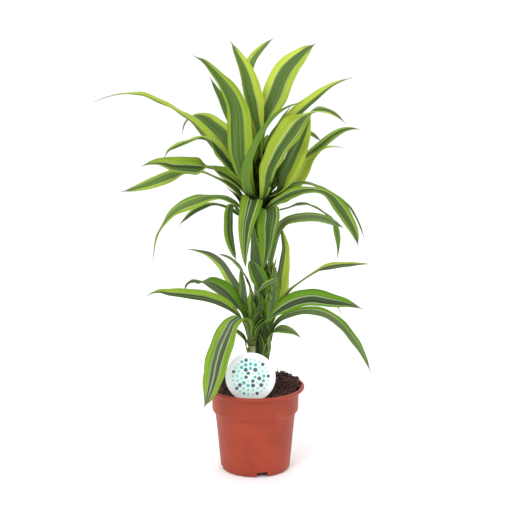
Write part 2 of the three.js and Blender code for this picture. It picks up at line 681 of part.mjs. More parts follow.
function addLeaves(group, curves, prefix, leaves, material) {
  leaves.forEach((leaf, index) => {
    const name = `${prefix}_${String(index + 1).padStart(2, "0")}`;
    group.add(named(name, leafGeometry(curves, leaf), material));
  });
}

// ---- assembly ----

const curves = {};
for (const [key, cane] of Object.entries(canes)) {
  curves[key] = caneCurve(cane);
}

const potPaint = paint(0xb8533c, 0.55);
const mixPaint = paint(0x33231a, 0.95);
const labelPaint = paint(0xeef4f3, 0.4);
const canePaint = paint(0x8d8a5c, 0.75);
const upperPaint = paint(0x8fae3a, 0.45);
const middlePaint = paint(0x6f9a2f, 0.45);
const lowerPaint = paint(0x5f8a2a, 0.45);

const plant = new THREE.Group();
plant.add(named("pot", makePot(), potPaint));
plant.add(named("potting_mix", makeMix(Object.values(curves)), mixPaint));
plant.add(named("label", labelGeometry(0), labelPaint));
for (const [key, cane] of Object.entries(canes)) {
  plant.add(named(cane.name, caneGeometry(curves[key], caneRadius), canePaint));
}
addLeaves(plant, curves, "upper_leaf", upperLeaves, upperPaint);
addLeaves(plant, curves, "middle_leaf", middleLeaves, middlePaint);
addLeaves(plant, curves, "lower_leaf", lowerLeaves, lowerPaint);

export default plant;
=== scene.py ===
import math
import random

import bmesh
import bpy
from mathutils import Matrix, Vector, noise


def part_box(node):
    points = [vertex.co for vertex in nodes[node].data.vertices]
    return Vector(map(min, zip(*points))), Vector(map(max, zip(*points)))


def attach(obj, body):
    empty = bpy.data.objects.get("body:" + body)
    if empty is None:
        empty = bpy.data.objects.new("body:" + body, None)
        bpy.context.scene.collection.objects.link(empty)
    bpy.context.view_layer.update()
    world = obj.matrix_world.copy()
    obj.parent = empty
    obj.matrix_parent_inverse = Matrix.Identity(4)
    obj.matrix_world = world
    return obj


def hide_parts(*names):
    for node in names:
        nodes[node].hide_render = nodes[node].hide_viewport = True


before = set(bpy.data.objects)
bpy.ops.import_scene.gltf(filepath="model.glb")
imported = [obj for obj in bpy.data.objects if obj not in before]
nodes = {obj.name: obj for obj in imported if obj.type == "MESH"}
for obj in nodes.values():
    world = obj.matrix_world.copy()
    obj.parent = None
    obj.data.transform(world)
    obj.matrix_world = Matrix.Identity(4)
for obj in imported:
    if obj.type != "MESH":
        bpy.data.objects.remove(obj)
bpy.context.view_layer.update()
print("frame loaded:", len(nodes), "nodes")


# ---- camera, light and floor ----

camera = {"back": 2.3, "height": 0.83, "across": 0.0012, "tilt": 11.2, "lens": 97.1, "sensor": 36,
          "near": 0.05, "far": 50}
skyStrength = 1.0
softboxes = {  # where each one hangs, what it points at, its width and its power
    "key": ((-0.9, -1.9, 1.9), (0, 0, 0.4), 1.1, 26),
    "fill": ((1.7, -1.4, 1.0), (0, 0, 0.35), 1.2, 4),
    "rim": ((0.4, 1.8, 1.7), (0, 0, 0.4), 1.2, 8),
}


def makeCamera():
    data = bpy.data.cameras.new("view")
    data.lens = camera["lens"]
    data.sensor_width = camera["sensor"]
    data.clip_start = camera["near"]
    data.clip_end = camera["far"]
    seen = bpy.data.objects.new("view", data)
    seen.location = (camera["across"], -camera["back"], camera["height"])
    seen.rotation_euler = (math.radians(90 - camera["tilt"]), 0, 0)
    bpy.context.scene.collection.objects.link(seen)
    bpy.context.scene.camera = seen


def softbox(name, place, aim, size, power):
    data = bpy.data.lights.new(name, "AREA")
    data.shape = "DISK"
    data.size = size
    data.energy = power
    lamp = bpy.data.objects.new(name, data)
    lamp.location = place
    lamp.rotation_euler = (Vector(aim) - Vector(place)).to_track_quat("-Z", "Y").to_euler()
    bpy.context.scene.collection.objects.link(lamp)


def makeLights():
    world = bpy.data.worlds.new("studio")
    world.use_nodes = True
    sky = world.node_tree.nodes["Background"].inputs
    sky["Color"].default_value = (1, 1, 1, 1)
    sky["Strength"].default_value = skyStrength
    bpy.context.scene.world = world
    for name, (place, aim, size, power) in softboxes.items():
        softbox(name, place, aim, size, power)
    bpy.context.scene.view_settings.view_transform = "Standard"


makeCamera()
makeLights()
print("camera and lights placed")


# ---- making pieces ----

same = 1e-5  # corners closer than this are one corner
anyTurn = (0, 6.28)  # once round, in radians


def finishedPiece(name, bm, material, replaced=(), smooth=True):
    mesh = bpy.data.meshes.new(name)
    bm.to_mesh(mesh)
    bm.free()
    for face in mesh.polygons:
        face.use_smooth = smooth
    piece = bpy.data.objects.new(name, mesh)
    bpy.context.scene.collection.objects.link(piece)
    for finish in material if isinstance(material, list) else [material]:
        mesh.materials.append(finish)
    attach(piece, "root")
    if replaced:
        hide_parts(*replaced)
    return piece


def mergedCorners(node):
    bm = bmesh.new()
    bm.from_mesh(nodes[node].data)
    bmesh.ops.remove_doubles(bm, verts=bm.verts, dist=same)
    return bm


def softEdges(piece, width, angle):  # rounds the edges that are sharper than the angle
    edges = piece.modifiers.new("edges", "BEVEL")
    edges.width = width
    edges.segments = 2
    edges.limit_method = "ANGLE"
    edges.angle_limit = math.radians(angle)


def moved(bm, corners, step):
    bmesh.ops.translate(bm, verts=corners, vec=step)


def turned(bm, corners, matrix):  # about the origin
    bmesh.ops.rotate(bm, verts=corners, cent=(0, 0, 0), matrix=matrix)


def onward(bm, face, step):  # extrudes the end face of a tube and gives the new end face
    face = bmesh.ops.extrude_discrete_faces(bm, faces=[face])["faces"][0]
    moved(bm, face.verts, step)
    return face


def scaledEnd(bm, face, middle, sizes):
    bmesh.ops.scale(bm, verts=face.verts, vec=sizes, space=Matrix.Translation(-middle))


def around(radius, turn):  # a spot that far from the middle of the pot
    return radius * math.cos(turn), radius * math.sin(turn)


def ease(value, low, high):  # 0 below low, 1 above high, smooth between
    share = min(max((value - low) / (high - low), 0), 1)
    return share * share * (3 - 2 * share)


def mixed(first, second, share):
    return first + (second - first) * share


# ---- making materials ----

def putValue(tree, socket, value):
    if isinstance(value, bpy.types.NodeSocket):
        tree.links.new(value, socket)
    elif socket.type == "RGBA" and len(value) == 3:
        socket.default_value = (*value, 1)
    else:
        socket.default_value = value


def add(tree, kind, settings=None, **values):
    node = tree.nodes.new("ShaderNode" + kind)
    for name, value in (settings or {}).items():
        setattr(node, name, value)
    for name, value in values.items():
        putValue(tree, node.inputs[name.replace("_", " ")], value)
    return node


def maths(tree, operation, *values):
    node = tree.nodes.new("ShaderNodeMath")
    node.operation = operation
    for socket, value in zip(node.inputs, values):
        putValue(tree, socket, value)
    return node.outputs[0]


def plus(tree, first, second):
    return maths(tree, "ADD", first, second)


def less(tree, first, second):
    return maths(tree, "SUBTRACT", first, second)


def times(tree, first, second):
    return maths(tree, "MULTIPLY", first, second)


def rise(tree, value, low, high, smooth=True):  # 0 at low, 1 at high
    node = tree.nodes.new("ShaderNodeMapRange")
    node.interpolation_type = "SMOOTHSTEP" if smooth else "LINEAR"
    for name, given in (("Value", value), ("From Min", low), ("From Max", high)):
        putValue(tree, node.inputs[name], given)
    return node.outputs["Result"]


def blend(tree, share, first, second, how="MIX"):
    node = tree.nodes.new("ShaderNodeMix")
    node.data_type = "RGBA"
    node.blend_type = how
    putValue(tree, node.inputs[0], share)
    putValue(tree, node.inputs[6], first)
    putValue(tree, node.inputs[7], second)
    return node.outputs[2]


def objectPlace(tree):
    return add(tree, "TexCoord").outputs["Object"]


def stretched(tree, place, *scale):
    return add(tree, "Mapping", Vector=place, Scale=scale).outputs[0]


def noisy(tree, place, scale, detail, roughness=0.5):
    return add(tree, "TexNoise", Vector=place, Scale=scale, Detail=detail, Roughness=roughness).outputs[0]


def coloured(tree, shader, colour, rough, shine=None):
    putValue(tree, shader["Base Color"], colour)
    putValue(tree, shader["Roughness"], rough)
    if shine is not None:
        shader["Specular IOR Level"].default_value = shine


def uneven(tree, shader, strength, distance, height):
    bump = add(tree, "Bump", Strength=strength, Distance=distance, Height=height)
    putValue(tree, shader["Normal"], bump.outputs[0])


def newGroup(name, inputs, outputs):
    group = bpy.data.node_groups.new(name, "ShaderNodeTree")
    for label, (kind, value) in inputs.items():
        socket = group.interface.new_socket(name=label, in_out="INPUT", socket_type="NodeSocket" + kind)
        if value is not None:
            socket.default_value = value
    for label, kind in outputs.items():
        group.interface.new_socket(name=label, in_out="OUTPUT", socket_type="NodeSocket" + kind)
    entry = group.nodes.new("NodeGroupInput")
    leave = group.nodes.new("NodeGroupOutput")
    return group, entry.outputs, leave.inputs


def useGroup(tree, group, **values):
    node = tree.nodes.new("ShaderNodeGroup")
    node.node_tree = group
    for name, value in values.items():
        putValue(tree, node.inputs[name], value)
    return node.outputs


def newMaterial(name):
    material = bpy.data.materials.new(name)
    material.use_nodes = True
    return material, material.node_tree, material.node_tree.nodes["Principled BSDF"].inputs


def srgb(red, green, blue):  # a colour picked on a screen, as the shader's linear values
    return tuple((c / 12.92 if c <= 0.04045 else ((c + 0.055) / 1.055) ** 2.4)
                 for c in (red / 255, green / 255, blue / 255))


def makeGrainGroup():  # fine even grain for moulded and woody surfaces
    group, given, out = newGroup(
        "fineGrain",
        {"Vector": ("Vector", None), "Scale": ("Float", 400.0), "Low": ("Float", 0.4), "High": ("Float", 0.6)},
        {"Rough": "Float", "Height": "Float"})
    fine = noisy(group, given["Vector"], given["Scale"], 3.0)
    broad = noisy(group, given["Vector"], times(group, given["Scale"], 0.08), 2.0)
    both = plus(group, times(group, fine, 0.5), times(group, broad, 0.5))
    spread = less(group, given["High"], given["Low"])
    rough = plus(group, given["Low"], times(group, both, spread))
    putValue(group, out["Rough"], rough)
    putValue(group, out["Height"], fine)
    return group


fineGrain = makeGrainGroup()


# ---- floor ----

ground = {
    "reach": 60,     # its far edge lies beyond the horizon that the camera can tell from white
    "drop": 0.0004,  # just below the pot's foot
    "glow": 0.06,    # keeps the far floor as white as the near
}


def makeFloor():
    bm = bmesh.new()
    bmesh.ops.create_grid(bm, x_segments=1, y_segments=1, size=ground["reach"])
    moved(bm, bm.verts, (0, 0, -ground["drop"]))
    mesh = bpy.data.meshes.new("floor")
    bm.to_mesh(mesh)
    bm.free()
    floor = bpy.data.objects.new("floor", mesh)
    bpy.context.scene.collection.objects.link(floor)
    material, tree, shader = newMaterial("paleFloor")
    coloured(tree, shader, (0.97, 0.97, 0.97, 1), 0.9, 0.1)
    shader["Emission Color"].default_value = (1, 1, 1, 1)
    shader["Emission Strength"].default_value = ground["glow"]
    mesh.materials.append(material)


makeFloor()
print("floor laid")


# ---- pot ----

pot = {
    "steps": 128,
    "colour": srgb(161, 62, 38),
    "deep": srgb(149, 55, 33),
    "scuffed": srgb(214, 124, 98),
    "soiled": srgb(84, 50, 36),
    "notchTurns": (11.5, 101.5, 191.5, 281.5),
    "notchWidth": 0.0195,
    "notchDepth": 0.02,
    "notchHeight": 0.0095,
    "notchCorner": 0.003,
    "notchOut": 0.0575,  # from the pot's axis to the middle of a notch
    "edge": 0.0003,
}


def potOutline():  # outside from the middle of the underside to the lip, then the inside back down
    outside = [(0, 0.0012), (0.046, 0.0012), (0.048, 0), (0.0545, 0), (0.0572, 0.0006), (0.0592, 0.0024),
               (0.0602, 0.0052), (0.0624, 0.028), (0.0648, 0.055), (0.0672, 0.08), (0.0694, 0.0985),
               (0.0698, 0.1), (0.0703, 0.1012), (0.0715, 0.1024), (0.0729, 0.1036), (0.074, 0.105),
               (0.0746, 0.1072), (0.0747, 0.11), (0.0749, 0.122), (0.0752, 0.1345), (0.0756, 0.1372),
               (0.0768, 0.1392), (0.079, 0.1406), (0.0817, 0.1414), (0.0837, 0.1424), (0.0848, 0.1438),
               (0.085, 0.1455), (0.0846, 0.147), (0.0834, 0.1478), (0.0818, 0.148)]
    inside = [(0.0795, 0.1472), (0.0774, 0.1456), (0.0758, 0.1432), (0.0744, 0.14), (0.0739, 0.134),
              (0.0732, 0.11), (0.0727, 0.1068), (0.0713, 0.1052), (0.0696, 0.1036), (0.0684, 0.1012),
              (0.068, 0.099), (0.0632, 0.055), (0.0588, 0.0085), (0.0568, 0.0048), (0.054, 0.003), (0, 0.003)]
    return outside + inside


def spunBody(outline, steps):
    bm = bmesh.new()
    corners = [bm.verts.new((radius, 0, height)) for radius, height in outline]
    edges = [bm.edges.new(pair) for pair in zip(corners, corners[1:])]
    bmesh.ops.spin(bm, geom=corners + edges, cent=(0, 0, 0), axis=(0, 0, 1), angle=2 * math.pi,
                   steps=steps, use_merge=True)
    bmesh.ops.remove_doubles(bm, verts=bm.verts, dist=same / 10)
    bmesh.ops.recalc_face_normals(bm, faces=bm.faces)
    return bm


def notchBlock(turn):
    bm = bmesh.new()
    bmesh.ops.create_cube(bm, size=1)
    bmesh.ops.scale(bm, verts=bm.verts, vec=(pot["notchWidth"], pot["notchDepth"], 2 * pot["notchHeight"]))
    inward = [edge for edge in bm.edges
              if abs(edge.verts[0].co.y - edge.verts[1].co.y) > pot["notchDepth"] / 2]
    bmesh.ops.bevel(bm, geom=inward, offset=pot["notchCorner"], segments=4, profile=0.5, affect="EDGES",
                    material=-1)
    moved(bm, bm.verts, (0, -pot["notchOut"], 0))
    turned(bm, bm.verts, Matrix.Rotation(math.radians(turn), 3, "Z"))
    return bm


def potMaterial():
    material, tree, shader = newMaterial("potPlastic")
    place = objectPlace(tree)
    grain = useGroup(tree, fineGrain, Vector=place, Scale=1500.0, Low=0.4, High=0.56)
    cloudy = noisy(tree, place, 22.0, 4.0, 0.6)
    height = add(tree, "SeparateXYZ", Vector=place).outputs["Z"]
    colour = blend(tree, rise(tree, cloudy, 0.35, 0.7), pot["deep"], pot["colour"])
    # thin upright scuffs, and a little dried mix at the foot
    scuff = noisy(tree, stretched(tree, place, 1.0, 1.0, 0.12), 420.0, 5.0, 0.7)
    speck = noisy(tree, place, 650.0, 2.0)
    low = rise(tree, height, 0.022, 0.0)
    dirt = times(tree, rise(tree, speck, 0.6, 0.72), times(tree, low, 0.5))
    colour = blend(tree, times(tree, rise(tree, scuff, 0.62, 0.8), 0.1), colour, pot["scuffed"])
    coloured(tree, shader, blend(tree, dirt, colour, pot["soiled"]), grain["Rough"], 0.3)
    uneven(tree, shader, 0.06, 0.0004, grain["Height"])
    return material


def makePot():
    bm = spunBody(potOutline(), pot["steps"])
    piece = finishedPiece("pot_shell", bm, potMaterial(), ("pot",))
    for turn in pot["notchTurns"]:
        mesh = bpy.data.meshes.new("notch")
        block = notchBlock(turn)
        block.to_mesh(mesh)
        block.free()
        cutter = bpy.data.objects.new("notch", mesh)
        bpy.context.scene.collection.objects.link(cutter)
        cut = piece.modifiers.new("notch", "BOOLEAN")
        cut.operation = "DIFFERENCE"
        cut.solver = "EXACT"
        cut.object = cutter
        bpy.context.view_layer.objects.active = piece
        with bpy.context.temp_override(object=piece, active_object=piece):
            bpy.ops.object.modifier_apply(modifier="notch")
        bpy.data.objects.remove(cutter)
    softEdges(piece, pot["edge"], 50)


makePot()
print("pot made")


# ---- potting mix ----

mix = {
    "front": 0.139,            # height of the top in front
    "back": 0.1515,
    "slope": (-0.045, 0.055),  # where it climbs, from front to back
    "aslant": 0.35,            # and a little to the right
    "lumps": 0.0012,
    "crumbs": (0.0022, 0.0009),
    "radius": 0.0726,
    "rings": 30,
    "dark": srgb(34, 19, 16),
    "brown": srgb(86, 50, 38),
    "deep": srgb(30, 17, 14),
}
chips = {
    "count": 1700,
    "wallGap": 0.0025,
    "strip": (-0.009, 0.036, -0.054),  # in front of the label: its middle, half its width, its far edge
    "length": (0.002, 0.0055),
    "bigger": 1.7,                     # every ninth chip is this much longer
    "heaped": 260,                     # more chips, up against the far side of the lip
    "heapTurns": (-0.15, 2.6),
    "heapRadii": (0.068, 0.0785),
    "dark": srgb(30, 16, 15),
    "brown": srgb(88, 46, 36),
    "pale": srgb(136, 88, 66),
    "grain": srgb(22, 12, 11),
}
fibres = {"count": 330, "length": (0.004, 0.014), "radius": (0.00014, 0.00038), "bend": 0.24, "droop": 0.06}
twigs = {"count": 16, "length": (0.007, 0.017), "radius": 0.0005, "bend": 0.08, "backTurns": (0.1, 1.7),
         "radii": (0.045, 0.068)}
strandSteps = 6


def mixTop(x, y):
    slope = ease(y + mix["aslant"] * x, *mix["slope"])
    lumps = math.sin(x * 130 + 1) * math.cos(y * 110) + 0.6 * math.sin(x * 70 - y * 160)
    crumbs = (noise.noise(Vector((x * 90, y * 90, 3))) * mix["crumbs"][0]
              + noise.noise(Vector((x * 300, y * 300, 7))) * mix["crumbs"][1])
    return mixed(mix["front"], mix["back"], slope) + mix["lumps"] * lumps + crumbs


def mixMaterial():
    material, tree, shader = newMaterial("barkMix")
    place = objectPlace(tree)
    cells = add(tree, "TexVoronoi", Vector=place, Scale=230.0)
    coarse = noisy(tree, place, 60.0, 6.0, 0.7)
    fine = noisy(tree, place, 900.0, 4.0, 0.7)
    tone = add(tree, "SeparateColor", Color=cells.outputs["Color"]).outputs[0]
    colour = blend(tree, rise(tree, tone, 0.1, 0.95), mix["dark"], mix["brown"])
    colour = blend(tree, rise(tree, coarse, 0.42, 0.62), mix["deep"], colour)
    coloured(tree, shader, colour, rise(tree, fine, -1.4, 0.9, smooth=False), 0.25)
    uneven(tree, shader, 0.9, 0.0012, plus(tree, fine, coarse))
    return material


def chipMaterial():
    material, tree, shader = newMaterial("barkChip")
    place = objectPlace(tree)
    tone = add(tree, "Attribute", {"attribute_name": "chipTone"}).outputs["Fac"]
    grain = noisy(tree, stretched(tree, place, 1.0, 0.3, 1.0), 900.0, 4.0)
    colour = blend(tree, rise(tree, tone, 0.0, 0.75), chips["dark"], chips["brown"])
    colour = blend(tree, rise(tree, tone, 0.86, 1.0), colour, chips["pale"])
    colour = blend(tree, times(tree, rise(tree, grain, 0.35, 0.7), 0.45), colour, chips["grain"])
    coloured(tree, shader, colour, rise(tree, grain, -1.2, 1.1, smooth=False))
    uneven(tree, shader, 0.6, 0.0006, grain)
    return material


def makeMixBody():  # its sides lie just inside the pot's wall
    sides = [(0, 0.0034), (0.0535, 0.0034), (0.0563, 0.0052), (0.0582, 0.0088), (0.0674, 0.0985),
             (0.0722, 0.11), (0.0725, 0.134)]
    shares = [1 - step / mix["rings"] for step in range(mix["rings"] + 1)]
    bm = spunBody(sides + [(mix["radius"] * share, mix["front"]) for share in shares], 96)
    for corner in bm.verts:
        if corner.co.z > mix["front"] - 0.001:
            corner.co.z = mixTop(corner.co.x, corner.co.y)
    finishedPiece("mix_body", bm, mixMaterial(), ("potting_mix",))


def scatterSpot(rng):  # anywhere on the mix, but clear of the wall and of the strip in front of the label
    radius = (mix["radius"] - chips["wallGap"]) * math.sqrt(rng.random())
    x, y = around(radius, rng.random() * 2 * math.pi)
    middle, half, far = chips["strip"]
    return (x, -y) if y < far and abs(x - middle) < half else (x, y)


def heapedSpot(rng):  # along the far wall, where the mix lies highest
    turn = rng.uniform(*chips["heapTurns"])
    return around(rng.uniform(*chips["heapRadii"]), turn)


def makeChips():
    rng = random.Random(11)
    bm = bmesh.new()
    tone = bm.verts.layers.float.new("chipTone")
    for index in range(chips["count"] + chips["heaped"]):
        heaped = index >= chips["count"]
        x, y = heapedSpot(rng) if heaped else scatterSpot(rng)
        length = rng.uniform(*chips["length"]) * (chips["bigger"] if index % 9 == 0 else 1)
        chip = bmesh.ops.create_cube(bm, size=1)["verts"]
        shade = rng.random() ** 1.3
        for corner in chip:
            corner.co.x += rng.uniform(-0.3, 0.3)
            corner.co.y += rng.uniform(-0.3, 0.3)
            corner.co.z += rng.uniform(-0.25, 0.25)
            corner[tone] = shade
        flat, thin = length * rng.uniform(0.35, 0.8), length * rng.uniform(0.14, 0.35)
        bmesh.ops.scale(bm, verts=chip, vec=(length, flat, thin))
        tilt = Matrix.Rotation(rng.gauss(0, 0.55), 3, "X") @ Matrix.Rotation(rng.gauss(0, 0.45), 3, "Y")
        turned(bm, chip, Matrix.Rotation(rng.uniform(*anyTurn), 3, "Z") @ tilt)
        lift = rng.uniform(-0.0008, 0.0008) if heaped else rng.uniform(-0.0004, 0.0012)
        moved(bm, chip, (x, y, mixTop(x, y) + lift))
    bmesh.ops.recalc_face_normals(bm, faces=bm.faces)
    finishedPiece("bark_chips", bm, chipMaterial(), smooth=False)


def strand(bm, start, heading, length, radius, shade, bend, droop, rng):
    tone = bm.verts.layers.float["chipTone"]
    ring = bmesh.ops.create_circle(bm, segments=4, radius=radius, cap_ends=True)["verts"]
    face = ring[0].link_faces[0]
    turned(bm, ring, heading.to_track_quat("Z", "Y").to_matrix())
    moved(bm, ring, start)
    for corner in ring:
        corner[tone] = shade
    for step in range(strandSteps):
        turn = Vector((rng.gauss(0, bend), rng.gauss(0, bend), rng.gauss(0, bend) - droop))
        heading = (heading + turn).normalized()
        face = onward(bm, face, heading * length / strandSteps)
        for corner in face.verts:
            corner[tone] = shade
    scaledEnd(bm, face, face.calc_center_median(), (0.4, 0.4, 0.4))


def makeFibres():
    rng = random.Random(5)
    bm = bmesh.new()
    bm.verts.layers.float.new("chipTone")
    for index in range(fibres["count"]):
        x, y = scatterSpot(rng)
        heading = Vector((*around(1, rng.uniform(*anyTurn)), rng.uniform(-0.1, 0.45)))
        length, radius = rng.uniform(*fibres["length"]), rng.uniform(*fibres["radius"])
        start = Vector((x, y, mixTop(x, y) + 0.0008))
        strand(bm, start, heading, length, radius, rng.uniform(0.45, 1.0), fibres["bend"], fibres["droop"], rng)
    for index in range(twigs["count"]):  # short stiff ends that stand up, most of them at the back
        turn = rng.uniform(*(twigs["backTurns"] if index % 3 else anyTurn))
        x, y = around(rng.uniform(*twigs["radii"]), turn)
        heading = Vector((rng.gauss(0, 0.25), rng.gauss(0, 0.25), 1)).normalized()
        length, shade = rng.uniform(*twigs["length"]), rng.uniform(0.0, 0.5)
        start = Vector((x, y, mixTop(x, y) - 0.001))
        strand(bm, start, heading, length, twigs["radius"], shade, twigs["bend"], 0.0, rng)
    finishedPiece("fibres", bm, chipMaterial())


makeMixBody()
makeChips()
makeFibres()
print("potting mix made")


# ---- canes ----

caneLook = {
    "radius": 0.0064,
    "sides": 24,
    "ringSpacing": 0.0058,
    "ringSteps": 4,  # rows of corners from one leaf scar to the next
    "scarSwell": 1.03,
    "betweenScars": 0.985,
    "flare": 0.22,   # how much wider the foot is
    "flareHeights": (0.15, 0.168),
    "cream": srgb(202, 198, 150),
    "green": srgb(142, 150, 96),
    "brown": srgb(96, 84, 54),
    "scar": srgb(86, 70, 46),
}


def axisOf(node):  # the middle of each ring of ten corners, from the root end up
    bm = mergedCorners(node)
    corners = sorted((corner.co.copy() for corner in bm.verts), key=lambda spot: spot.z)
    bm.free()
    return [sum(corners[start:start + 10], Vector()) / 10 for start in range(0, len(corners), 10)]


def axisAt(axis, height):
    for low, high in zip(axis, axis[1:]):
        if height <= high.z:
            return mixed(low, high, (height - low.z) / (high.z - low.z))
    return mixed(axis[-2], axis[-1], (height - axis[-2].z) / (axis[-1].z - axis[-2].z))


def caneMaterial():
    material, tree, shader = newMaterial("caneBark")
    place = objectPlace(tree)
    height = add(tree, "SeparateXYZ", Vector=place).outputs["Z"]
    wobble = noisy(tree, place, 70.0, 2.0)
    bent = plus(tree, height, times(tree, wobble, 0.003))
    ring = maths(tree, "FRACT", maths(tree, "DIVIDE", bent, caneLook["ringSpacing"]))
    scar = maths(tree, "MAXIMUM", rise(tree, ring, 0.16, 0.0), rise(tree, ring, 0.9, 1.0))
    streak = noisy(tree, stretched(tree, place, 1.0, 1.0, 0.08), 900.0, 3.0)
    patch = noisy(tree, place, 45.0, 3.0)
    colour = blend(tree, rise(tree, patch, 0.35, 0.65), caneLook["green"], caneLook["cream"])
    colour = blend(tree, times(tree, rise(tree, streak, 0.45, 0.8), 0.4), colour, caneLook["brown"])
    shown = times(tree, scar, rise(tree, wobble, 0.3, 0.75))
    grain = useGroup(tree, fineGrain, Vector=place, Scale=900.0, Low=0.55, High=0.8)
    coloured(tree, shader, blend(tree, shown, colour, caneLook["scar"]), grain["Rough"])
    uneven(tree, shader, 0.5, 0.0005, less(tree, streak, scar))
    return material


def makeCane(node, axis, material):
    bm = bmesh.new()
    low, high = axis[0].z, axis[-1].z
    steps = round((high - low) / (caneLook["ringSpacing"] / caneLook["ringSteps"]))
    ring = bmesh.ops.create_circle(bm, segments=caneLook["sides"], radius=caneLook["radius"],
                                   cap_ends=True)["verts"]
    moved(bm, ring, axisAt(axis, low))
    face = ring[0].link_faces[0]
    for step in range(1, steps + 1):
        height = mixed(low, high, step / steps)
        before = axisAt(axis, mixed(low, high, (step - 1) / steps))
        middle = axisAt(axis, height)
        face = onward(bm, face, middle - before)
        swell = caneLook["scarSwell"] if step % caneLook["ringSteps"] == 0 else caneLook["betweenScars"]
        flare = 1 + caneLook["flare"] * (1 - ease(height, *caneLook["flareHeights"]))
        scale = caneLook["radius"] * swell * flare / (face.verts[0].co - middle).xy.length
        scaledEnd(bm, face, middle, (scale, scale, 1))
    bmesh.ops.recalc_face_normals(bm, faces=bm.faces)
    finishedPiece(node + "_bark", bm, material, (node,))


bark = caneMaterial()
caneAxes = {node: axisOf(node) for node in ("cane_tall", "cane_medium", "cane_short")}
for node, axis in caneAxes.items():
    makeCane(node, axis, bark)
print("canes made")


# ---- leaves ----

blade = {
    "across": 12,
    "along": 64,
    "thickness": 0.0006,
    "gull": 0.10,           # how far each half bows up between midrib and margin, as a share of its width
    "ripple": 0.0011,       # of the margins; it grows from nothing near the base and fades out near the tip
    "rippleLength": 0.045,
    "rippleStart": (0.12, 0.3),
    "rippleEnd": (0.8, 1.0),
    "rippleHalf": 0.014,    # half a blade's width that gives the ripple its full height
    "sheath": 0.013,        # height over which the base wraps its cane
    "release": (0.5, 1.7),  # where the wrap gives way to the free blade, in sheath heights
    "wrap": 1.9,            # half angle of the wrap at the very base
    "hug": 0.0067,          # how far from the cane's axis the base lies
    "tipStart": 0.93,       # share of the length where the blade narrows to its tip
    "tipWidth": 0.25,
    "ringCorners": 6,       # corners in each ring of the CAD leaf
}


def railsOf(node):  # left margin, midrib and right margin at each ring of the CAD leaf, from its base on
    bm = mergedCorners(node)
    spots = list(bm.verts)
    count = blade["ringCorners"]

    def crowd(corner):
        return sorted((corner.co - other.co).length for other in spots)[count - 1]

    seed = min(spots, key=crowd)  # the tip's ring is the smallest, so the walk starts there
    ring = sorted(spots, key=lambda other: (other.co - seed.co).length)[:count]
    rings, seen = [], set()
    while ring:
        rings.append([corner.co.copy() for corner in ring])
        seen.update(ring)
        ring = list({edge.other_vert(corner) for corner in ring for edge in corner.link_edges} - seen)
    bm.free()
    rings.reverse()

    sides = []
    for ring in rings:
        pairs = [(a - b) for a in ring for b in ring]
        sides.append(max(pairs, key=lambda gap: gap.length).normalized())
    sides[-1] = sides[-2].copy()
    for index in range(1, len(sides)):
        if sides[index].dot(sides[index - 1]) < 0:
            sides[index].negate()
    rails = []
    for ring, side in zip(rings, sides):
        ordered = sorted(ring, key=lambda spot: spot.dot(side))
        right, middle, left = [(ordered[k] + ordered[k + 1]) / 2 for k in (0, 2, 4)]
        rails.append([left, middle, right])
    # the margins stand higher than the midrib; where they don't, left and right have to change places
    widest = max(range(len(rails)), key=lambda k: (rails[k][0] - rails[k][2]).length)
    left, middle, right = rails[widest]
    forward = rails[widest + 1][1] - rails[widest - 1][1]
    if forward.cross(left - right).dot((left + right) / 2 - middle) < 0:
        rails = [[right, middle, left] for left, middle, right in rails]
    return rails


def through(points, place):  # a smooth curve through equally spaced points
    start = min(int(place), len(points) - 2)
    share = place - start
    b, c = points[start], points[start + 1]
    a = points[start - 1] if start > 0 else 2 * b - c
    d = points[start + 2] if start + 2 < len(points) else 2 * c - b
    return 0.5 * (2 * b + (c - a) * share + (2 * a - 5 * b + 4 * c - d) * share ** 2
                  + (3 * b - a - 3 * c + d) * share ** 3)


def bladeRow(rails, share, axis, travelled):
    place = share * (len(rails) - 1)
    left, middle, right = (through([rail[k] for rail in rails], place) for k in range(3))
    ahead = through([rail[1] for rail in rails], min(place + 0.05, len(rails) - 1.0))
    behind = through([rail[1] for rail in rails], max(place - 0.05, 0.0))
    side = (left - right).normalized()
    upper = (ahead - behind).normalized().cross(side).normalized()
    slim = 1 - (1 - blade["tipWidth"]) * ease(share, blade["tipStart"], 1.0)
    left, right = mixed(middle, left, slim), mixed(middle, right, slim)
    return {"left": left, "middle": middle, "right": right, "upper": upper, "share": share,
            "travelled": travelled, "axis": axis}


def bladePoint(row, across, phase):  # across runs from -1 on the right margin to 1 on the left
    margin = row["left"] if across > 0 else row["right"]
    reach = abs(across)
    half = (margin - row["middle"]).length
    lift = blade["gull"] * half * math.sin(math.pi * reach ** 1.3)
    wave = math.sin(2 * math.pi * row["travelled"] / blade["rippleLength"] + phase + (1.3 if across > 0 else 0))
    fade = ease(row["share"], *blade["rippleStart"]) * (1 - ease(row["share"], *blade["rippleEnd"]))
    lift += blade["ripple"] * wave * reach ** 3 * fade * min(half / blade["rippleHalf"], 1.2)
    flat = mixed(row["middle"], margin, reach) + row["upper"] * lift
    hold = 1 - ease(row["travelled"], *(heights * blade["sheath"] for heights in blade["release"]))
    if hold == 0:
        return flat
    core = axisAt(row["axis"], row["middle"].z)
    away = (row["middle"] - core).xy
    radius = mixed(blade["hug"], away.length, ease(row["travelled"], 0, 0.006))
    natural = half / radius
    spread = mixed(blade["wrap"], natural, ease(row["travelled"], 0, blade["sheath"]))
    turn = math.atan2(away.y, away.x) + across * spread
    wrapped = Vector((core.x + radius * math.cos(turn), core.y + radius * math.sin(turn), row["middle"].z))
    return mixed(flat, wrapped, hold)


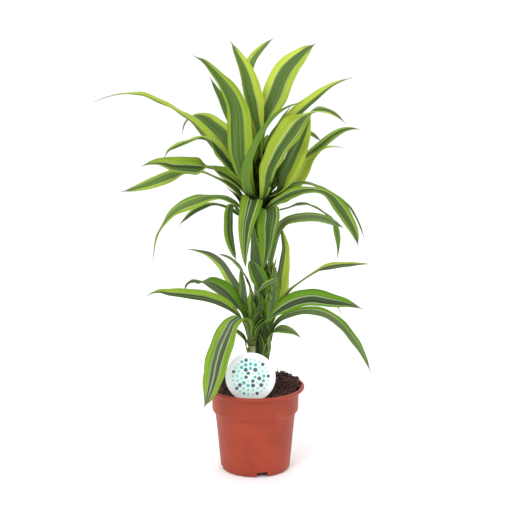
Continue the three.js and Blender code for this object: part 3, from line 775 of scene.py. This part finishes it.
def growBlade(bm, rails, axis, marks, phase, across, along):
    middles = [rail[1] for rail in rails]
    length = sum((b - a).length for a, b in zip(middles, middles[1:]))
    edge = bm.verts.layers.float_color["leafEdge"]
    body = bm.verts.layers.float_color["leafBody"]
    rows = {}
    grown = bmesh.ops.create_grid(bm, x_segments=across, y_segments=along, size=0.5, calc_uvs=True)["verts"]
    for corner in grown:
        share = round(corner.co.y + 0.5, 6)
        if share not in rows:
            rows[share] = bladeRow(rails, share, axis, share * length)
        corner[edge] = marks[:4]
        corner[body] = marks[4:]
        corner.co = bladePoint(rows[share], -2 * corner.co.x, phase)


def newBladeMesh():
    bm = bmesh.new()
    bm.loops.layers.uv.new("blade")
    bm.verts.layers.float_color.new("leafEdge")
    bm.verts.layers.float_color.new("leafBody")
    return bm


def thickened(piece):
    wall = piece.modifiers.new("thickness", "SOLIDIFY")
    wall.thickness = blade["thickness"]
    wall.offset = -1
    wall.material_offset = 1  # the back face takes the duller finish


def makeBlade(node, caneNode, finishes, marks):
    bm = newBladeMesh()
    growBlade(bm, railsOf(node), caneAxes[caneNode], marks, random.Random(node).uniform(*anyTurn),
              blade["across"], blade["along"])
    thickened(finishedPiece(node + "_blade", bm, finishes, (node,)))


def makeBandsGroup():  # lengthwise bands of a striped leaf, across the blade's own UV map
    group, given, out = newGroup(
        "leafBands",
        {"Blade": ("Vector", None), "Edge": ("Color", (0.3, 0.3, 0.5, 1)), "Lime": ("Float", 0.5),
         "Body": ("Color", (0.3, 0.5, 0.5, 1)), "Shadow": ("Float", 0.2),
         "Margin": ("Color", (0.4, 0.5, 0.05, 1)), "Margin green": ("Color", (0.2, 0.4, 0.02, 1)),
         "Line": ("Color", (0.8, 0.8, 0.5, 1)), "Centre": ("Color", (0.1, 0.2, 0.05, 1)),
         "Centre pale": ("Color", (0.3, 0.4, 0.2, 1)), "Base": ("Color", (0.5, 0.6, 0.2, 1)),
         "Tip": ("Color", (0.2, 0.2, 0.1, 1))},
        {"Color": "Color", "Height": "Float", "Rough": "Float"})
    parts = add(group, "SeparateXYZ", Vector=given["Blade"])
    across, along = parts.outputs["X"], parts.outputs["Y"]
    edge = add(group, "SeparateColor", Color=given["Edge"]).outputs
    body = add(group, "SeparateColor", Color=given["Body"]).outputs

    def streaks(fineness, run, seed):
        spot = add(group, "CombineXYZ", X=times(group, across, fineness), Y=times(group, along, run), Z=seed)
        return noisy(group, spot.outputs[0], 1.0, 3.0, 0.6)

    def swung(value, wave, swing):  # a value that a noise moves up and down
        return plus(group, value, times(group, less(group, wave, 0.5), swing))

    fine = streaks(46.0, 2.0, body[2])
    broad = streaks(12.0, 1.1, edge[1])
    sway = streaks(2.0, 3.0, body[0])
    bent = swung(swung(across, sway, 0.12), fine, 0.05)
    fromFirst = less(group, bent, edge[0])
    fromSecond = less(group, less(group, 1.0, bent), edge[1])

    # the centre: darker and paler stripes; past 1 its tone starts again from dark, with a silvery streak
    silvered = rise(group, body[0], 1.0, 1.02)
    tone = swung(swung(less(group, body[0], silvered), broad, 2.4), fine, 1.0)
    centre = blend(group, rise(group, tone, 0.0, 1.0, smooth=False), given["Centre"], given["Centre pale"])
    middle = maths(group, "ABSOLUTE", less(group, bent, 0.54))
    streak = times(group, rise(group, middle, 0.045, 0.01), times(group, silvered, 0.5))
    centre = blend(group, streak, centre, given["Line"])

    def margin(distance, lime):  # how far inside a margin a point lies, and the colour there
        lit = rise(group, swung(swung(lime, fine, 0.7), sway, 0.5), 0.0, 1.0, smooth=False)
        return rise(group, distance, 0.015, -0.015), blend(group, lit, given["Margin green"], given["Margin"])

    firstMask, firstTone = margin(fromFirst, edge[2])
    secondMask, secondTone = margin(fromSecond, given["Lime"])
    colour = blend(group, firstMask, centre, firstTone)
    colour = blend(group, secondMask, colour, secondTone)

    def paleLine(distance, share):  # a cream line just inside a margin, stronger in some stretches
        near = maths(group, "ABSOLUTE", less(group, distance, 0.018))
        shown = times(group, rise(group, near, 0.03, 0.006), rise(group, share, 0.04, 0.1))
        strength = rise(group, swung(body[1], sway, 1.2), 0.0, 1.1, smooth=False)
        return times(group, shown, strength)

    colour = blend(group, paleLine(fromFirst, edge[0]), colour, given["Line"])
    colour = blend(group, paleLine(fromSecond, edge[1]), colour, given["Line"])
    rib = rise(group, maths(group, "ABSOLUTE", less(group, across, 0.5)), 0.03, 0.008)
    colour = blend(group, times(group, rib, 0.35), colour, given["Centre"])
    # painted shade: the blade darkens toward the Base colour, fully at the base and fading out at Shadow of its
    # length, in place of the crown's shade
    deep = times(group, rise(group, along, given["Shadow"], 0.02), 0.85)
    colour = blend(group, deep, colour, given["Base"])
    colour = blend(group, times(group, rise(group, along, 0.88, 0.98), 0.75), colour, given["Tip"])
    # each leaf's light value brightens or darkens the whole blade: partly its own tone, partly painted shade
    # where it lies in the crown's shade
    bright = swung(plus(group, 0.45, times(group, body[2], 1.1)), fine, 0.5)
    shade = add(group, "CombineColor", Red=bright, Green=bright, Blue=bright)
    colour = blend(group, 1.0, colour, shade.outputs[0], how="MULTIPLY")
    putValue(group, out["Color"], colour)
    ribs = plus(group, times(group, fine, 0.5), times(group, rib, -0.8))
    putValue(group, out["Height"], ribs)
    putValue(group, out["Rough"], rise(group, fine, -1.4, 1.9, smooth=False))
    return group


leafBands = makeBandsGroup()

# each palette's base is the colour of the painted shade on the lower part of its blades, inside the crown
leafColours = {
    "upper": {"margin": srgb(184, 202, 68), "green": srgb(90, 130, 16), "line": srgb(190, 202, 146),
              "centre": srgb(44, 68, 22), "pale": srgb(98, 126, 58), "base": srgb(58, 80, 14),
              "tip": srgb(92, 98, 66)},
    "middle": {"margin": srgb(178, 199, 70), "green": srgb(84, 128, 12), "line": srgb(190, 204, 156),
               "centre": srgb(42, 64, 28), "pale": srgb(104, 124, 76), "base": srgb(62, 84, 24),
               "tip": srgb(90, 96, 70)},
    "lower": {"margin": srgb(176, 198, 72), "green": srgb(84, 130, 10), "line": srgb(192, 204, 160),
              "centre": srgb(40, 60, 28), "pale": srgb(106, 122, 86), "base": srgb(88, 100, 44),
              "tip": srgb(90, 94, 70)},
    # the heart palette is a darkened copy of the others: painted shade for the dense inside of the crowns
    "heart": {"margin": srgb(74, 98, 20), "green": srgb(40, 60, 10), "line": srgb(84, 100, 50),
              "centre": srgb(16, 28, 8), "pale": srgb(36, 54, 20), "base": srgb(18, 28, 6),
              "tip": srgb(58, 78, 26)},
}


def leafMaterial(name, colours, under):
    material, tree, shader = newMaterial(name)
    place = add(tree, "UVMap", {"uv_map": "blade"}).outputs[0]
    edge = add(tree, "Attribute", {"attribute_name": "leafEdge"}).outputs
    body = add(tree, "Attribute", {"attribute_name": "leafBody"}).outputs
    bands = useGroup(tree, leafBands, Blade=place, Edge=edge["Color"], Lime=edge["Alpha"], Body=body["Color"],
                     Shadow=body["Alpha"], Margin=colours["margin"], Line=colours["line"],
                     Centre=colours["centre"], Base=colours["base"], Tip=colours["tip"],
                     **{"Margin green": colours["green"], "Centre pale": colours["pale"]})
    colour = bands["Color"]
    if under:  # the back of a leaf is duller, and its bands show a little less
        colour = blend(tree, 0.1, colour, colours["under"])
    coloured(tree, shader, colour, bands["Rough"], 0.12 if under else 0.2)
    uneven(tree, shader, 0.35, 0.0004, bands["Height"])
    return material


# a leaf's marks: the shares of its width that its left and right margins take, seen with the tip ahead,
# how lime each margin is, how pale its centre (1 more adds a silvery streak), how clear its cream lines,
# how light it is (its own tone, and partly painted shade), and how far up its length the painted shade
# at the base reaches
leafMarks = {
    "upper": [
        (0.02, 0.58, 0.3, 0.7, 0.9, 0.3, 0.45, 0.10), (0.12, 0.30, 0.2, 0.65, 0.6, 0.1, 0.43, 0.12),
        (0.12, 0.32, 0.15, 0.5, 0.2, 0.5, 0.43, 0.14), (0.10, 0.44, 0.3, 0.28, 0.35, 0.7, 0.43, 0.12),
        (0.26, 0.20, 0.55, 0.4, 1.0, 0.5, 0.45, 0.12), (0.10, 0.10, 0.0, 0.3, 0.8, 0.2, 0.37, 0.25),
        (0.30, 0.12, 0.42, 0.35, 0.55, 0.2, 0.43, 0.34), (0.40, 0.06, 0.9, 0.3, 0.75, 0.4, 0.49, 0.50),
        (0.42, 0.02, 0.8, 0.2, 1.0, 0.5, 0.48, 0.20), (0.50, 0.50, 0.2, 0.2, 0.4, 0.2, 0.38, 0.20),
        (0.24, 0.26, 1.0, 0.6, 0.75, 0.6, 0.51, 0.20), (0.16, 0.16, 0.0, 0.0, 1.0, 0.0, 0.43, 0.26),
        (0.56, 0.02, 0.85, 0.2, 0.5, 0.5, 0.52, 0.20), (0.15, 0.36, 0.45, 0.7, 0.7, 0.9, 0.44, 0.12),
        (0.02, 0.48, 0.0, 0.65, 0.55, 0.1, 0.43, 0.42), (0.52, 0.52, 0.7, 0.7, 0.4, 0.2, 0.47, 0.30),
        (0.28, 0.24, 0.35, 0.15, 0.45, 0.5, 0.44, 0.15), (0.20, 0.12, 0.35, 0.2, 0.9, 0.2, 0.42, 0.20),
        (0.22, 0.22, 0.2, 0.2, 0.9, 0.2, 0.43, 0.20), (0.28, 0.18, 0.18, 0.1, 0.45, 0.6, 0.44, 0.10),
        (0.20, 0.20, 0.2, 0.1, 1.0, 0.2, 0.46, 0.15), (0.26, 0.22, 0.4, 0.15, 1.0, 0.9, 0.45, 0.14),
        (0.02, 0.26, 0.0, 0.35, 0.1, 0.4, 0.36, 0.10), (0.03, 0.34, 0.0, 0.1, 0.2, 0.4, 0.37, 0.08),
        (0.22, 0.32, 0.1, 0.18, 1.25, 0.9, 0.40, 0.02), (0.12, 0.40, 0.05, 0.0, 0.3, 0.7, 0.40, 0.02),
        (0.24, 0.24, 0.6, 0.6, 0.4, 0.5, 0.42, 0.20), (0.26, 0.20, 0.7, 0.8, 0.4, 0.5, 0.42, 0.20),
        (0.30, 0.30, 0.1, 0.1, 0.5, 0.1, 0.34, 0.30), (0.24, 0.22, 0.5, 0.6, 0.4, 0.5, 0.40, 0.20),
        (0.20, 0.10, 0.1, 0.0, 0.1, 0.1, 0.20, 0.60)],
    "middle": [
        (0.14, 0.03, 0.4, 0.1, 0.6, 0.4, 0.38, 0.10), (0.20, 0.20, 0.2, 0.2, 1.0, 0.5, 0.46, 0.10),
        (0.02, 0.50, 0.0, 0.9, 0.55, 0.1, 0.49, 0.20), (0.20, 0.24, 0.0, 0.15, 0.25, 0.2, 0.36, 0.25),
        (0.34, 0.20, 0.0, 0.0, 0.8, 0.4, 0.39, 0.12), (0.34, 0.04, 0.1, 0.2, 1.0, 0.6, 0.45, 0.10),
        (0.22, 0.22, 0.25, 0.1, 1.0, 0.3, 0.46, 0.10), (0.32, 0.02, 0.8, 0.0, 0.4, 0.7, 0.43, 0.12),
        (0.12, 0.12, 0.1, 0.1, 0.8, 0.2, 0.42, 0.10), (0.24, 0.22, 0.4, 0.4, 0.5, 0.4, 0.42, 0.15),
        (0.22, 0.24, 0.4, 0.4, 0.5, 0.4, 0.42, 0.15)],
    "lower": [
        (0.28, 0.10, 0.4, 0.0, 0.9, 0.3, 0.44, 0.14), (0.28, 0.10, 0.3, 0.1, 0.6, 0.3, 0.43, 0.10),
        (0.02, 0.62, 0.0, 0.35, 0.3, 0.2, 0.42, 0.10), (0.30, 0.10, 0.0, 0.0, 0.4, 0.0, 0.37, 0.20),
        (0.28, 0.10, 0.2, 0.0, 0.6, 0.2, 0.41, 0.10), (0.34, 0.02, 0.75, 0.0, 0.6, 0.7, 0.46, 0.20),
        (0.05, 0.42, 0.1, 0.0, 0.6, 0.1, 0.39, 0.12), (0.02, 0.50, 0.1, 0.35, 0.3, 0.6, 0.43, 0.12),
        (0.27, 0.29, 0.25, 0.3, 1.5, 0.6, 0.43, 0.10), (0.38, 0.14, 0.05, 0.1, 0.2, 0.7, 0.40, 0.10),
        (0.20, 0.20, 0.5, 0.3, 0.8, 0.2, 0.44, 0.10), (0.24, 0.24, 0.4, 0.4, 0.5, 0.4, 0.42, 0.15)],
}

leafFinishes = {}
for kind, colours in leafColours.items():
    colours["under"] = tuple(mixed(a, b, 0.4) for a, b in zip(colours["green"], colours["pale"]))
    leafFinishes[kind] = [leafMaterial(kind + "LeafFace", colours, False),
                          leafMaterial(kind + "LeafBack", colours, True)]
for kind, caneNode in (("upper", "cane_tall"), ("middle", "cane_medium"), ("lower", "cane_short")):
    for number, marks in enumerate(leafMarks[kind], start=1):
        makeBlade(f"{kind}_leaf_{number:02d}", caneNode, leafFinishes[kind], marks)
print("leaves made")


# ---- hearts of the crowns: short young blades and old bases close round each cane, most darkened as painted shade ----

heart = {
    "stations": 9,
    "across": 6,
    "along": 18,
    "spiral": 137.5,    # degrees from one blade to the next
    "hold": 0.0075,     # from the cane's axis to a blade's base
    "cup": 0.35,        # how far the margins fold back, as a share of half the width
    "innerReach": 0.3,  # the topmost blade's reach, as a share of the lowest one's
    "curve": 1.7,       # how late a blade leans out
    "sag": 0.18,
    "taper": 2.4,       # how late it narrows
    "tipHalf": 0.0003,
}


def heartRails(axis, height, turn, length, reach, width):
    outward = Vector((math.cos(turn), math.sin(turn), 0))
    side = Vector((-outward.y, outward.x, 0))
    rails = []
    for station in range(heart["stations"]):
        share = station / (heart["stations"] - 1)
        out = heart["hold"] + reach * share ** heart["curve"]
        up = length * share * (1 - heart["sag"] * share)
        middle = axisAt(axis, height) + outward * out + Vector((0, 0, up))
        fuller = 0.55 + 0.45 * math.sin(math.pi * min(share * 1.3, 0.5))
        half = width / 2 * fuller * (1 - share ** heart["taper"]) + heart["tipHalf"]
        cupped = outward * half * -heart["cup"]
        rails.append([middle + side * half + cupped, middle, middle - side * half + cupped])
    return rails


def makeHeart(name, caneNode, kind, nest):
    rng = random.Random(name)
    bm = newBladeMesh()
    axis = caneAxes[caneNode]
    vary, margin = nest.get("vary", 1), nest.get("margin", 0.2)
    for index in range(nest["count"]):
        share = index / (nest["count"] - 1)
        edge = (margin, margin, rng.uniform(0.0, 0.8), rng.uniform(0.0, 0.8))
        # painted shade: unless the nest gives deep, each blade darkens toward its palette's base colour up to 0.7
        # of its length
        body = (rng.uniform(0.0, 0.8), rng.uniform(0.1, 0.6), rng.uniform(*nest["light"]), nest.get("deep", 0.7))
        turn = math.radians(index * heart["spiral"] + nest["turn"])
        reach = mixed(nest["reach"], nest["reach"] * heart["innerReach"], share)
        reach *= 1 + vary * rng.uniform(-0.3, 0.2)
        length = nest["length"] * (1 + vary * rng.uniform(-0.25, 0.1))
        width = nest["width"] * (1 + vary * rng.uniform(-0.15, 0.1))
        rails = heartRails(axis, mixed(*nest["heights"], share), turn, length, reach, width)
        growBlade(bm, rails, axis, edge + body, rng.uniform(*anyTurn), heart["across"], heart["along"])
    thickened(finishedPiece(name, bm, leafFinishes[kind]))


# each nest's blades: how many, from which height to which on the cane, how long, how far the lowest one leans
# out, how wide, which way the first one faces and how light they are (low values paint shade); margin, vary and
# deep (how far up the painted shade at the base reaches) only where they differ from makeHeart's own
makeHeart("upper_heart", "cane_tall", "heart",
          {"count": 30, "heights": (0.398, 0.500), "length": 0.072, "reach": 0.026, "width": 0.021, "turn": 20,
           "light": (0.3, 0.5)})
makeHeart("upper_nest", "cane_tall", "heart",
          {"count": 20, "heights": (0.404, 0.432), "length": 0.112, "reach": 0.048, "width": 0.028, "turn": 75,
           "light": (0.3, 0.5)})
makeHeart("upper_young", "cane_tall", "upper",
          {"count": 2, "heights": (0.470, 0.480), "length": 0.190, "reach": 0.046, "width": 0.056, "turn": 8,
           "light": (0.42, 0.48), "margin": 0.6, "vary": 0, "deep": 0.25})
makeHeart("middle_heart", "cane_medium", "middle",
          {"count": 16, "heights": (0.262, 0.322), "length": 0.060, "reach": 0.018, "width": 0.019, "turn": 140,
           "light": (0.45, 0.7), "margin": 0.25})
makeHeart("middle_nest", "cane_medium", "middle",
          {"count": 5, "heights": (0.262, 0.300), "length": 0.100, "reach": 0.016, "width": 0.018, "turn": 285,
           "light": (0.35, 0.5)})
makeHeart("lower_heart", "cane_short", "lower",
          {"count": 16, "heights": (0.234, 0.266), "length": 0.058, "reach": 0.018, "width": 0.018, "turn": 200,
           "light": (0.35, 0.55)})
# old leaf bases round the canes below the crowns; their low light values, near black on the tall cane, are
# painted shade between the canes
makeHeart("medium_sheaths", "cane_medium", "lower",
          {"count": 9, "heights": (0.190, 0.246), "length": 0.052, "reach": 0.005, "width": 0.016, "turn": 300,
           "light": (0.15, 0.4), "margin": 0.1})
makeHeart("tall_sheaths", "cane_tall", "lower",
          {"count": 7, "heights": (0.186, 0.240), "length": 0.050, "reach": 0.003, "width": 0.015, "turn": 250,
           "light": (0.0, 0.25), "margin": 0.1})
print("crown hearts made")


# ---- label ----

card = {
    "thickness": 0.0009,
    "lean": 4,            # degrees
    "sides": 128,
    "edge": 0.0002,
    "stakeWidth": 0.012,
    "stakeTip": 0.092,    # below the middle of the card
    "stakePoint": 0.016,  # how much shorter the stake is at its sides
    "white": srgb(240, 246, 246),
    "shaded": srgb(236, 242, 243),
    "tint": srgb(214, 246, 240),
    "mint": srgb(150, 226, 210),
    "teal": srgb(78, 178, 172),
    "slate": srgb(78, 92, 104),
    # each ring of dots: its radius, how many dots, a dot's largest radius, and the seed of its colours
    "rings": [(0.0075, 6.0, 0.0029, 1.0), (0.0148, 11.0, 0.0034, 9.0), (0.0225, 17.0, 0.0034, 23.0),
              (0.0300, 25.0, 0.0029, 47.0)],
}


def makeDotRingGroup():  # one ring of round dots, of sizes that vary a little
    group, given, out = newGroup(
        "dotRing",
        {"Vector": ("Vector", None), "Radius": ("Float", 0.02), "Count": ("Float", 12.0), "Dot": ("Float", 0.002),
         "Seed": ("Float", 0.0)},
        {"Mask": "Float", "Pick": "Float"})
    parts = add(group, "SeparateXYZ", Vector=given["Vector"])
    angle = maths(group, "ARCTAN2", parts.outputs["X"], parts.outputs["Y"])
    part = plus(group, maths(group, "DIVIDE", angle, 2 * math.pi), 0.5)
    place = times(group, part, given["Count"])
    cell = maths(group, "FLOOR", place)
    pitch = maths(group, "DIVIDE", times(group, given["Radius"], 2 * math.pi), given["Count"])
    along = times(group, less(group, less(group, place, cell), 0.5), pitch)
    away = add(group, "VectorMath", {"operation": "LENGTH"}, Vector=given["Vector"]).outputs["Value"]
    outward = less(group, away, given["Radius"])
    squares = [times(group, leg, leg) for leg in (along, outward)]
    distance = maths(group, "SQRT", plus(group, *squares))
    seeded = plus(group, cell, given["Seed"])
    pick = add(group, "TexWhiteNoise", {"noise_dimensions": "1D"}, W=seeded).outputs["Value"]
    size = times(group, given["Dot"], plus(group, 0.62, times(group, pick, 0.5)))
    putValue(group, out["Mask"], rise(group, less(group, distance, size), 0.00012, -0.00012))
    putValue(group, out["Pick"], pick)
    return group


dotRing = makeDotRingGroup()


def labelMaterial(centre):
    material, tree, shader = newMaterial("labelCard")
    place = objectPlace(tree)
    flat = add(tree, "Mapping", Vector=place, Location=(-centre.x, 0.0, -centre.z)).outputs[0]
    parts = add(tree, "SeparateXYZ", Vector=flat)
    face = add(tree, "CombineXYZ", X=parts.outputs["X"], Y=parts.outputs["Z"], Z=0.0).outputs[0]
    paper = noisy(tree, place, 900.0, 2.0)
    away = add(tree, "VectorMath", {"operation": "LENGTH"}, Vector=face).outputs["Value"]
    colour = blend(tree, rise(tree, paper, 0.3, 0.7), card["white"], card["shaded"])
    colour = blend(tree, times(tree, rise(tree, away, 0.036, 0.02), 0.5), colour, card["tint"])
    for radius, count, dot, seed in card["rings"]:
        ring = useGroup(tree, dotRing, Vector=face, Radius=radius, Count=count, Dot=dot, Seed=seed)
        ink = blend(tree, rise(tree, ring["Pick"], 0.44, 0.46), card["mint"], card["teal"])
        ink = blend(tree, rise(tree, ring["Pick"], 0.72, 0.74), ink, card["slate"])
        colour = blend(tree, ring["Mask"], colour, ink)
    coloured(tree, shader, colour, rise(tree, paper, -0.6, 2.2, smooth=False))
    return material


def makeLabel():
    low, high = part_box("label")
    radius = (high.x - low.x) / 2
    lean = math.radians(card["lean"])
    centre = Vector(((low.x + high.x) / 2, 0, high.z - radius * math.cos(lean)))
    centre.y = high.y - radius * math.sin(lean) - card["thickness"] / 2
    bm = bmesh.new()
    bmesh.ops.create_circle(bm, segments=card["sides"], radius=radius, cap_ends=True)
    half = card["stakeWidth"] / 2
    for corner in bm.verts:  # the stake: the card's lowest edges are pulled down to a point
        if corner.co.y < 0 and abs(corner.co.x) < half:
            corner.co.y = card["stakePoint"] * abs(corner.co.x) / half - card["stakeTip"]
    bmesh.ops.solidify(bm, geom=bm.faces, thickness=card["thickness"])
    bmesh.ops.recalc_face_normals(bm, faces=bm.faces)
    moved(bm, bm.verts, (0, 0, -card["thickness"] / 2))
    turned(bm, bm.verts, Matrix.Rotation(math.pi / 2 - lean, 3, "X"))
    moved(bm, bm.verts, centre)
    piece = finishedPiece("label_card", bm, labelMaterial(centre), ("label",), smooth=False)
    softEdges(piece, card["edge"], 30)


makeLabel()
print("label made")
